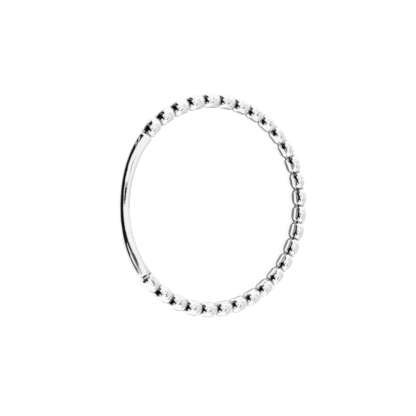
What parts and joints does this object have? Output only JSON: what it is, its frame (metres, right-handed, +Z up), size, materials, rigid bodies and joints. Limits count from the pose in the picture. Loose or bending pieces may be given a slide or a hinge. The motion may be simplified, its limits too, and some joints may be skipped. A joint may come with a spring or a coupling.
{
  "type": "beaded band ring",
  "caption": "Thin polished band ring: a string of fused round beads, closed by a smooth plain stretch, flat on the inside.",
  "frame": {"origin": "on the surface the ring lies on, at the centre of its box, 0.2 mm from the ring's own axis because the plain stretch is thinner than the beads", "axes": "+Z up, along the ring's axis through the finger hole; -X towards the middle of the plain stretch"},
  "size_m": [0.0196, 0.02, 0.0015],
  "materials": {
    "silver": "polished"
  },
  "bodies": {
    "root": {"beaded_band": "silver"}
  },
  "joints": []
}
